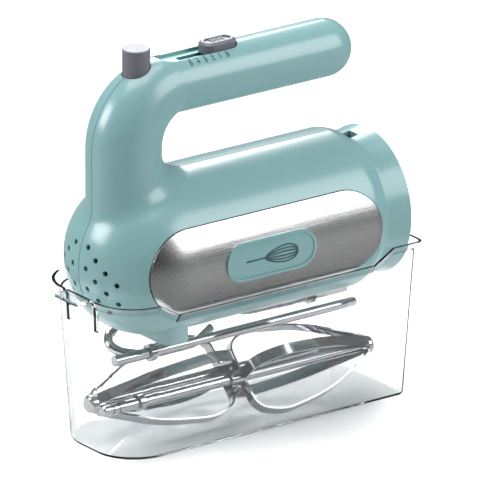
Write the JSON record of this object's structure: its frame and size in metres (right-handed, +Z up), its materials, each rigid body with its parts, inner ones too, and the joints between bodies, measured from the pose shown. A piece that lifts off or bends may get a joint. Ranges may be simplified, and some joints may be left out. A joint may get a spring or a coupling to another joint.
{
  "type": "hand mixer",
  "caption": "Capsule-bodied electric hand mixer with a cantilevered handle, parked in a clear open storage case with strip whisks and wire dough hooks.",
  "frame": {"origin": "centre of the whole object's box, on the surface the case stands on", "axes": "+X towards the tail of the mixer, away from its round nose; +Y to the user's right; +Z up along the lift out of the case"},
  "size_m": [0.2082, 0.0908, 0.2209],
  "materials": {
    "mint_plastic": "glossy moulded",
    "deep_teal_plastic": "glossy moulded",
    "badge_plastic": "glossy moulded with a paler rim",
    "grey_plastic": "satin moulded",
    "brushed_panel": "brushed along the body",
    "clear_plastic": "clear moulded",
    "bright_steel": "polished",
    "spindle_steel": "turned",
    "gear_nylon": "natural moulded nylon",
    "frame_plastic": "glass-filled moulded",
    "bronze": "sintered bronze",
    "lamination_iron": "stacked sheet",
    "copper_wire": "enamelled wire",
    "carbon": "pressed carbon",
    "die_cast": "cast",
    "board_green": "circuit board",
    "capacitor_yellow": "moulded case",
    "gland_rubber": "moulded",
    "lead_plastic": "insulated wire",
    "zinc_screw": "zinc plated"
  },
  "bodies": {
    "case": {"storage_case": "clear_plastic"},
    "ejector": {"eject_button": "grey_plastic", "eject_rod": "spindle_steel", "eject_fork": "frame_plastic"},
    "speed_slider": {"speed_knob": "grey_plastic", "slider_carrier": "frame_plastic"},
    "motor_rotor": {"motor_shaft": "spindle_steel", "armature_core": "lamination_iron", "armature_windings": "copper_wire", "commutator": "bronze", "cooling_fan": "gear_nylon"},
    "left_drive": {"spindle_left": "spindle_steel", "gear_left": "gear_nylon"},
    "right_drive": {"spindle_right": "spindle_steel", "gear_right": "gear_nylon"},
    "left_whisk": {"whisk_blades_left": "bright_steel", "whisk_shaft_left": "bright_steel", "whisk_collar_left": "bright_steel", "whisk_cap_left": "bright_steel"},
    "left_hook": {"hook_rod_left": "bright_steel", "hook_sleeve_left": "bright_steel"},
    "right_whisk": {"whisk_blades_right": "bright_steel", "whisk_shaft_right": "bright_steel", "whisk_collar_right": "bright_steel", "whisk_cap_right": "bright_steel"},
    "right_hook": {"hook_rod_right": "bright_steel", "hook_sleeve_right": "bright_steel"},
    "mixer": {"badge_left": "badge_plastic", "badge_right": "badge_plastic", "brush_holders": "bronze", "carbon_brushes": "carbon", "control_board": "board_green", "cord_gland": "gland_rubber", "eject_spring": "spindle_steel", "field_coils": "copper_wire", "front_bearing": "spindle_steel", "gearbox_cover": "frame_plastic", "gearbox_frame": "frame_plastic", "gearbox_screws": "zinc_screw", "heel_cap": "mint_plastic", "housing_left": "mint_plastic", "housing_right": "mint_plastic", "housing_screws": "zinc_screw", "motor_bridge": "die_cast", "motor_leads": "lead_plastic", "nose_bush": "bronze", "rear_bearing": "spindle_steel", "side_panel_left": "brushed_panel", "side_panel_right": "brushed_panel", "slider_track": "deep_teal_plastic", "speed_switch": "frame_plastic", "spindle_bushes": "bronze", "stator_core": "lamination_iron", "suppressor_capacitor": "capacitor_yellow"}
  },
  "joints": [
    {"name": "mixer_lift", "type": "slide", "parent": "case", "child": "mixer", "axis": [0, 0, 1], "range_m": [0, 0.3]},
    {"name": "eject_press", "type": "slide", "parent": "mixer", "child": "ejector", "axis": [0, 0, -1], "range_m": [0, 0.007], "stiffness_N_per_m": 900, "springref_m": -0.003, "deforming": ["eject_spring"]},
    {"name": "speed_set", "type": "slide", "parent": "mixer", "child": "speed_slider", "axis": [-1, 0, 0], "range_m": [0, 0.024]},
    {"name": "motor_spin", "type": "hinge", "parent": "mixer", "child": "motor_rotor", "pos_m": [0, 0, 0.1044], "axis": [1, 0, 0], "continuous": true},
    {"name": "left_spindle_spin", "type": "hinge", "parent": "mixer", "child": "left_drive", "pos_m": [-0.05, -0.0205, 0.1], "axis": [0, 0, 1], "continuous": true},
    {"name": "right_spindle_spin", "type": "hinge", "parent": "mixer", "child": "right_drive", "pos_m": [-0.05, 0.0205, 0.1], "axis": [0, 0, 1], "continuous": true},
    {"name": "left_whisk_lift", "type": "slide", "parent": "case", "child": "left_whisk", "axis": [0, 0, 1], "range_m": [0, 0.1]},
    {"name": "right_whisk_lift", "type": "slide", "parent": "case", "child": "right_whisk", "axis": [0, 0, 1], "range_m": [0, 0.1]},
    {"name": "left_hook_lift", "type": "slide", "parent": "case", "child": "left_hook", "axis": [0, 0, 1], "range_m": [0, 0.1]},
    {"name": "right_hook_lift", "type": "slide", "parent": "case", "child": "right_hook", "axis": [0, 0, 1], "range_m": [0, 0.1]}
  ],
  "couplings": [
    {"joint": "left_spindle_spin", "follows": "motor_spin", "ratio": 0.041667},
    {"joint": "right_spindle_spin", "follows": "motor_spin", "ratio": -0.041667},
    {"joint": "left_whisk_lift", "follows": "mixer_lift", "ratio": 0.33333},
    {"joint": "right_whisk_lift", "follows": "mixer_lift", "ratio": 0.33333},
    {"joint": "left_hook_lift", "follows": "mixer_lift", "ratio": 0.33333},
    {"joint": "right_hook_lift", "follows": "mixer_lift", "ratio": 0.33333}
  ]
}
